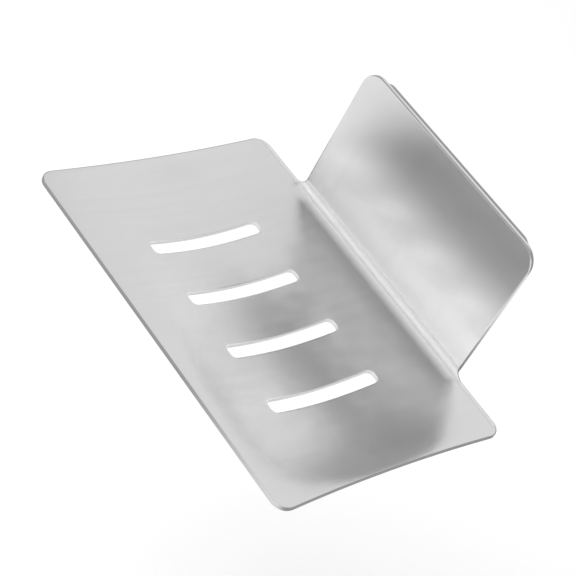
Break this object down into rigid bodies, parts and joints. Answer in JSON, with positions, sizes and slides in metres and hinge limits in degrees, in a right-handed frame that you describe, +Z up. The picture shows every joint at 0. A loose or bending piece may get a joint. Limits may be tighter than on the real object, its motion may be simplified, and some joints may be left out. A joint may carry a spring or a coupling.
{
  "type": "soap holder",
  "caption": "Wall soap holder: a pressed steel tray with drain slots and a folded-up back plate that a self-adhesive foam pad fixes to the wall.",
  "frame": {"origin": "middle of the outermost back face, the face that meets the wall", "axes": "+Y into the wall, +Z up, +X to the right for someone facing the holder; the tray reaches towards -Y"},
  "size_m": [0.1294, 0.0932, 0.0578],
  "materials": {
    "satin_steel": "satin",
    "grey_foam": "matte closed-cell foam",
    "liner_paper": "silk siliconised paper"
  },
  "bodies": {
    "root": {"steel_holder": "satin_steel", "foam_pad": "grey_foam", "release_liner": "liner_paper"}
  },
  "joints": []
}
